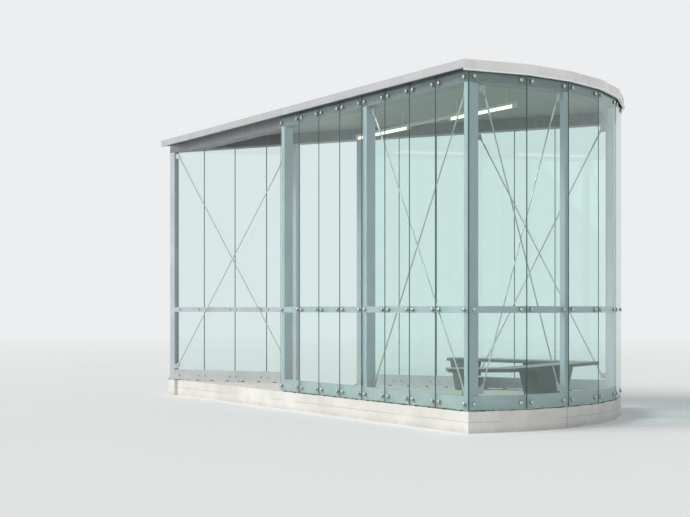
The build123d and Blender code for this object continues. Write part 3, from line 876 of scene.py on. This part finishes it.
def all_panes():
    """The panes of each wall, by the node that they replace."""
    left = straight_panes(REAR, REAR_LEFT_RUN, False)
    left[0] = (REAR, TIP_GLASS_START, left[0][2], 0.0, 0.0)
    return {
        "glass_front": straight_panes(STREET, STREET_RUN, True),
        "glass_nose": nose_panes(),
        "glass_back_left": left,
        "glass_back_right": straight_panes(REAR, REAR_RIGHT_RUN, True),
    }


def make_glass():
    """The panes, and two rubber blocks under each of them, a quarter of its length in from its ends."""
    seats = []
    for node, panes in all_panes().items():
        make_panes(node.replace("glass", "panes"), panes, node)
        for side, start, end, _, _ in panes:
            for share in BLOCK_PLACES:
                place = start + share * (end - start)
                seats.append(standing(on_side(side, place, GLASS_THICK / 2, 0.0), side.along))
    half = np.array([BLOCK_LENGTH, GLASS_THICK]) / 2
    outline = half * [[-1, -1], [1, -1], [1, 1], [-1, 1]]
    block = softened(outline, FLOOR_LEVEL, GLASS_FOOT, BLOCK_ROUND, steps=2)
    make_piece("setting_blocks", copies(block, seats), [RUBBER])


# Seams
def seal_bead():
    """A bead of sealant: in plan a flat oval of six points, an arris in from both faces of the glass at its
    middle and a crown more at its sides, and upwards a little shorter than the glass."""
    half = SEAM / 2 + SEAL_SPREAD
    outer = ARRIS
    inner = GLASS_THICK - ARRIS
    outer_rim = [[-half, outer + SEAL_CROWN], [0, outer], [half, outer + SEAL_CROWN]]
    inner_rim = [[half, inner - SEAL_CROWN], [0, inner], [-half, inner - SEAL_CROWN]]
    levels = (GLASS_FOOT + SEAL_SHORT, GLASS_HEAD - SEAL_SHORT)
    return stacked(np.array([at_level(outer_rim + inner_rim, level) for level in levels]))


def make_seals():
    """One bead in every seam: on the straight runs between panes, and at each corner of the nose."""
    seams = []
    for side, run in ((STREET, STREET_RUN), (REAR, REAR_LEFT_RUN), (REAR, REAR_RIGHT_RUN)):
        for start, _ in run[1:]:
            along = side.along if side is STREET else -side.along
            seams.append(standing(on_side(side, start, 0.0, 0.0), along))
    for number in range(1, len(CORNERS)):
        seams.append(standing(np.append(CORNERS[number], 0.0), corner_way(number)))
    make_piece("seam_seals", copies(seal_bead(), seams), [seal_paste()])


# Fixings
def run_fixings(run, first, last):
    """Where the fixings are along a run: one inset inside each end of each pane."""
    ends = np.array(run)
    before = np.where(np.arange(len(run)) == 0, first, FIXING_INSET)
    after = np.where(np.arange(len(run)) == len(run) - 1, last, FIXING_INSET)
    return np.concatenate([ends[:, 0] + before, ends[:, 1] - after])


def all_fixings():
    """Every fixing as a side and a distance along it."""
    left = [(TIP_GLASS_START, REAR_LEFT_RUN[0][1]), *REAR_LEFT_RUN[1:]]
    runs = (
        (STREET, STREET_RUN, END_FIXING_INSET, CORNER_FIXING_INSET),
        (REAR, left, CORNER_FIXING_INSET, END_FIXING_INSET),
        (REAR, REAR_RIGHT_RUN, END_FIXING_INSET, CORNER_FIXING_INSET),
    )
    found = [(side, place) for side, run, first, last in runs for place in run_fixings(run, first, last)]
    for side in NOSE:
        found += [(side, CORNER_FIXING_INSET), (side, side.length - CORNER_FIXING_INSET)]
    return found


BUTTON_RIM = [(0.0225, 0.0012), (0.0240, 0.0030), (0.0240, 0.0100)]
BUTTON_DOME = [(0.0205, 0.0146), (0.0130, 0.0172), (0.0050, 0.0182)]
WASHER = [(0.0255, -0.0002), (0.0258, 0.0006), (0.0252, 0.0014)]
CAP_NUT = [(0.0105, 0.0), (0.0105, 0.0080), (0.0080, 0.0120), (0.0040, 0.0142)]


def make_fixings():
    """Domed heads on the glass, each on a washer, and cap nuts at the inner ends, on rails and beams."""
    heads, nuts = [], []
    for side, distance in all_fixings():
        out = side.outward()
        for row, level in FIXING_LEVELS.items():
            heads.append(facing(on_side(side, distance, 0.0, level), out))
            nuts.append(facing(on_side(side, distance, SKIN + RAIL_DEPTHS[row], level), -out))
    bright_steel = stainless("button_steel", (0.62, 0.61, 0.58), 0.24)
    button = turned(BUTTON_RIM + BUTTON_DOME, steps=14)
    washer = turned(WASHER, steps=14)
    cap_nut = turned(CAP_NUT, steps=8)
    make_piece("fixing_buttons", copies(button, heads), [bright_steel], smooth=True)
    make_piece("fixing_washers", copies(washer, heads), [RUBBER])
    make_piece("fixing_cap_nuts", copies(cap_nut, nuts), [BOLT_STEEL])


# Post anchors
ANCHOR_WASHER = [(0.0116, 0.0), (0.0120, 0.0005), (0.0120, 0.0020), (0.0116, 0.0025)]
ANCHOR_NUT = [(0.0094, 0.0025), (0.0108, 0.0035), (0.0108, 0.0115), (0.0094, 0.0125)]
ANCHOR_STUD = [(0.0060, 0.0120), (0.0060, 0.0230), (0.0048, 0.0242)]


def anchor_spots(name, middle):
    """The way along a post's base plate, and its anchors as steps along and to the left of that way: at
    the corners of what the plate shows beside and behind the post."""
    across = PLATE_WIDTH / 2 - NUT_EDGE
    if name == "post_tip":
        return unit(0.0), [(x, y) for x in (-TIP_NUT, TIP_NUT) for y in (-TIP_NUT, TIP_NUT)]
    if "nose" in name:
        corner = int(np.argmin(np.linalg.norm(CORNERS - middle, axis=1)))
        back = NOSE_PLATE_DEPTH / 2 - NUT_EDGE
        return corner_way(corner), [(-across, back), (across, back)]
    inward = -1 if middle[1] > 0 else 1
    back = WALL_PLATE_DEPTH / 2 - NUT_EDGE
    return unit(-inward * TIP_HALF_ANGLE), [(x, inward * y) for x in (-across, across) for y in (0, back)]


def make_anchors():
    """A washer, a nut with turned-down ends and the end of its stud at every anchor. The middle of a post's
    plan box is the middle of its base plate."""
    frames = []
    for name in NODES:
        if name.startswith("post_"):
            low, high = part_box(name)
            middle = np.array([low.x + high.x, low.y + high.y]) / 2
            along, spots = anchor_spots(name, middle)
            places = middle + np.array(spots) @ np.stack([along, left_of(along)])
            frames += [standing(np.append(place, PLATE_LEVEL), along) for place in places]
    washer = turned(ANCHOR_WASHER, steps=14)
    nut = turned(ANCHOR_NUT, steps=6)
    stud = turned(ANCHOR_STUD, steps=10)
    make_piece("post_anchors", copies(together([washer, nut, stud]), frames), [BOLT_STEEL])


# Tie rods
SLEEVE = [(0.0092, 0.1260), (0.0128, 0.1280), (0.0128, 0.2980), (0.0092, 0.3000)]
UPPER_NUT = [(0.0078, 0.1140), (0.0112, 0.1155), (0.0112, 0.1245)]
LOWER_NUT = [(0.0112, 0.3015), (0.0112, 0.3105), (0.0078, 0.3120)]


def brace_spans():
    """The plan points that each pair of rods crosses between, on the street side of the middle line,
    and 1 where the pair stands there or -1 where it is the mirror image at the rear wall."""
    front = STREET.plan(STREET_PINS, WALL_PIN_DEPTH)
    back = STREET.plan(REAR_PINS, WALL_PIN_DEPTH)
    tip_pin = TIP_PIN_REACH / np.cos(TIP_HALF_ANGLE) - TIP_PIN_DEPTH * np.tan(TIP_HALF_ANGLE)
    tip = STREET.plan((tip_pin, DOOR_PIN), (TIP_PIN_DEPTH, DOOR_PIN_DEPTH))
    corner_post = STREET.plan(*CORNER_POST)
    nose_post = CORNERS[NOSE_POST_CORNER] + left_of(corner_way(NOSE_POST_CORNER)) * NOSE_POST_DEPTH
    across = one_long(nose_post - corner_post)
    nose = (corner_post + across * CORNER_PIN_REACH, nose_post - across * NOSE_PIN_REACH)
    return [(front, 1), (nose, 1), (nose, -1), (tip, -1), (back, -1)]


def rod_frames():
    """A frame at the upper pin of every rod, its z down the rod. The two rods of a pair stand half
    their spacing to each side of the line between the plan points."""
    found = []
    for (left, right), mirror in brace_spans():
        side = one_long(left_of(right - left)) * ROD_SPACING / 2
        for upper, lower in ((right + side, left + side), (left - side, right - side)):
            drop = np.append(lower - upper, LOWER_PIN_LEVEL - UPPER_PIN_LEVEL) * (1, mirror, 1)
            pin = np.append(upper, UPPER_PIN_LEVEL) * (1, mirror, 1)
            found.append(facing(pin, one_long(drop)))
    return found


def make_sleeves():
    """The tensioner of every rod: a turned sleeve with a lock nut at each end, below the upper fork."""
    steel = stainless("sleeve_steel", (0.78, 0.79, 0.78), 0.24)
    sleeve = turned(UPPER_NUT + SLEEVE + LOWER_NUT, steps=12)
    make_piece("rod_sleeves", copies(sleeve, rod_frames()), [steel])


# Roof edge
RIVET = [(0.0075, -0.0004), (0.0075, 0.0006), (0.0055, 0.0022), (0.0020, 0.0030)]


def make_rivets():
    """Low domed rivets along the flange that lies on the roof, about a pitch apart."""
    edges = [(side, WALL_OVERHANG) for side in (STREET, REAR)] + [(side, NOSE_OVERHANG) for side in NOSE]
    frames = []
    for side, overhang in edges:
        count = max(2, int(side.length / RIVET_PITCH))
        for distance in (np.arange(count) + 0.5) / count * side.length:
            place = on_side(side, distance, RIVET_INSET - overhang, ROOF_LEVEL)
            frames.append(standing(place, side.along))
    make_piece("flange_rivets", copies(turned(RIVET, steps=8), frames), [BOLT_STEEL])


# Ends of the lamps: the radii of the profile are added to the lamp's own
FERRULE = [(-0.002, 0.0), (0.0008, 0.0), (0.0008, 0.020), (-0.001, 0.0225)]


def make_ferrules():
    """A metal cap over each end of each lamp: a ring that steps in over the glass."""
    ahead = np.append(STREET.along, 0.0)
    frames = []
    for start in LIGHT_STARTS:
        for place, way in ((start + LAMP_HOLDER, ahead), (start + LAMP_LENGTH - LAMP_HOLDER, -ahead)):
            frames.append(facing(on_side(STREET, place, LIGHT_DEPTH, LIGHT_LEVEL), way))
    ferrule = turned(np.array(FERRULE) + [LAMP_RADIUS, 0.0], steps=20)
    make_piece("lamp_ferrules", copies(ferrule, frames), [ROD_STEEL], smooth=True)


# Bench
def bench_line():
    """The middle line of the planks, from the free end at the rear wall to the one at the street wall."""
    rear = REAR_CORNER - [BENCH_NOSE_SETBACK, BENCH_REAR_GAP]
    front = STREET_CORNER - [BENCH_NOSE_SETBACK, -BENCH_FRONT_GAP]
    rear_end = rear - [BENCH_BACK_LENGTH, 0.0]
    front_end = front - unit(BENCH_FRONT_HEADING) * BENCH_FRONT_LENGTH
    return np.array([rear_end, rear, front, front_end])


def bench_edges(line):
    """Both edges of the planks: at a corner, half a width away over the cosine of half its turn."""
    ways = one_long(np.diff(line, axis=0))
    middle = one_long(np.concatenate([ways[:1], ways[:-1] + ways[1:], ways[-1:]]))
    cosine = (middle * np.concatenate([ways[:1], ways])).sum(1)
    out = np.stack([-middle[:, 1], middle[:, 0]], 1) * (BENCH_WIDTH / 2 / cosine)[:, None]
    return line + out, line - out, ways


def pedestal(point, way, top, foot):
    """A trapezoid that leans in towards the floor, carried across the plank, its edges softened."""
    height = BENCH_TOP - BENCH_THICK - FLOOR_LEVEL
    outline = np.array([[-foot / 2, 0], [foot / 2, 0], [top / 2, height], [-top / 2, height]])
    half = BENCH_WIDTH / 2 - PEDESTAL_SETBACK
    ahead = np.append(way, 0.0)
    frame = (np.append(point, FLOOR_LEVEL), np.stack([ahead, UP, np.cross(ahead, UP)]))
    return copies(softened(outline, -half, half, BENCH_ROUND), [frame])


def make_bench():
    """Three planks round the inside of the nose, mitred, each with its pedestals."""
    line = bench_line()
    left, right, ways = bench_edges(line)
    nose_middle = np.linalg.norm(line[2] - line[1]) / 2
    pedestals = {
        "bench_back": [(place, *END_PEDESTAL) for place in END_PEDESTAL_PLACES],
        "bench_nose": [(nose_middle, *NOSE_PEDESTAL)],
        "bench_front": [(FRONT_PEDESTAL_PLACE, *FRONT_PEDESTAL)],
    }
    for number, (node, places) in enumerate(pedestals.items()):
        outline = np.array([right[number], right[number + 1], left[number + 1], left[number]])
        shapes = [softened(outline, BENCH_TOP - BENCH_THICK, BENCH_TOP, BENCH_ROUND)]
        for place, top, foot in places:
            point = line[number] + ways[number] * place
            shapes.append(pedestal(point, ways[number], top, foot))
        piece = make_piece(f"{node}_rounded", together(shapes), [BENCH])
        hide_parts(node)


# Camera, lamps and floor
def make_camera():
    """The camera stands where the photograph was taken: level, with the horizon lowered by the shift."""
    data = bpy.data.cameras.new("camera")
    data.sensor_width = SENSOR
    data.lens = FOCAL_PIXELS / PHOTO_WIDTH * SENSOR
    data.shift_y = (HORIZON_ROW - PHOTO_HEIGHT / 2) / PHOTO_WIDTH
    data.clip_end = CAMERA_REACH
    camera = linked("camera", data)
    place = Matrix.Translation((TIP[0] + CAMERA_FROM_TIP[0], *CAMERA_FROM_TIP[1:]))
    aim = Matrix.Rotation(CAMERA_HEADING, 4, "Z") @ Matrix.Rotation(np.pi / 2, 4, "X")
    camera.matrix_world = place @ aim
    bpy.context.scene.camera = camera


def make_lamp(name, way, strength, spread, colour):
    """A far soft lamp that shines from a direction and looks as many degrees wide as its spread."""
    data = bpy.data.lights.new(name, "SUN")
    data.energy = strength * np.pi
    data.angle = np.radians(spread)
    data.color = colour
    _, axes = facing((0, 0, 0), one_long(np.array(way)))
    linked(name, data).matrix_world = Matrix(axes.T.tolist()).to_4x4()


def make_world():
    """Soft light from all round; eye, gloss and glass see a plain pale background instead."""
    world = bpy.data.worlds.new("studio")
    bpy.context.scene.world = world
    world.use_nodes = True
    world.node_tree.nodes.clear()
    studio = Mixer(world.node_tree)
    light = studio.node("ShaderNodeBackground", Color=(*SKY_LIGHT, 1), Strength=SKY_STRENGTH)
    shown = studio.node("ShaderNodeBackground", Color=(*PALE, 1))
    seen = studio.any_ray(*SEEING_RAYS)
    surface = studio.shaders(seen, studio.wire(light), studio.wire(shown))
    studio.node("ShaderNodeOutputWorld", Surface=surface)


def make_floor():
    """A wide pale floor, whose colour turns into the background's with its distance from the shelter."""
    mesh = bpy.data.meshes.new("studio_floor")
    square = FLOOR_HALF * np.array([(-1, -1, 0), (1, -1, 0), (1, 1, 0), (-1, 1, 0)])
    mesh.from_pydata(square.tolist(), [], [(0, 1, 2, 3)])
    floor = linked("studio_floor", mesh)
    finish = Finish("studio_floor", Roughness=0.9, Specular_IOR_Level=0.1)
    finish.feed("Base Color", finish.mix(finish.noise(0.2, 2), *FLOOR_SHADES))
    far = finish.node("ShaderNodeVectorMath", {"operation": "LENGTH"}, i0=finish.place())
    away = finish.wire(far, "Value") / FLOOR_HALF
    seen = finish.any_ray(*SEEING_RAYS)
    faded = finish.ramp(away, *FLOOR_FADE) * seen
    glow = finish.node("ShaderNodeEmission", Color=(*PALE, 1))
    finish.share_surface(faded, glow)
    mesh.materials.append(finish.material)


finish_cad_nodes()
make_glass()
make_seals()
make_fixings()
make_anchors()
make_sleeves()
make_rivets()
make_ferrules()
make_bench()
make_camera()
make_world()
make_floor()
make_lamp("key_lamp", **KEY_LAMP)
make_lamp("fill_lamp", **FILL_LAMP)
bpy.context.scene.view_settings.view_transform = "Standard"
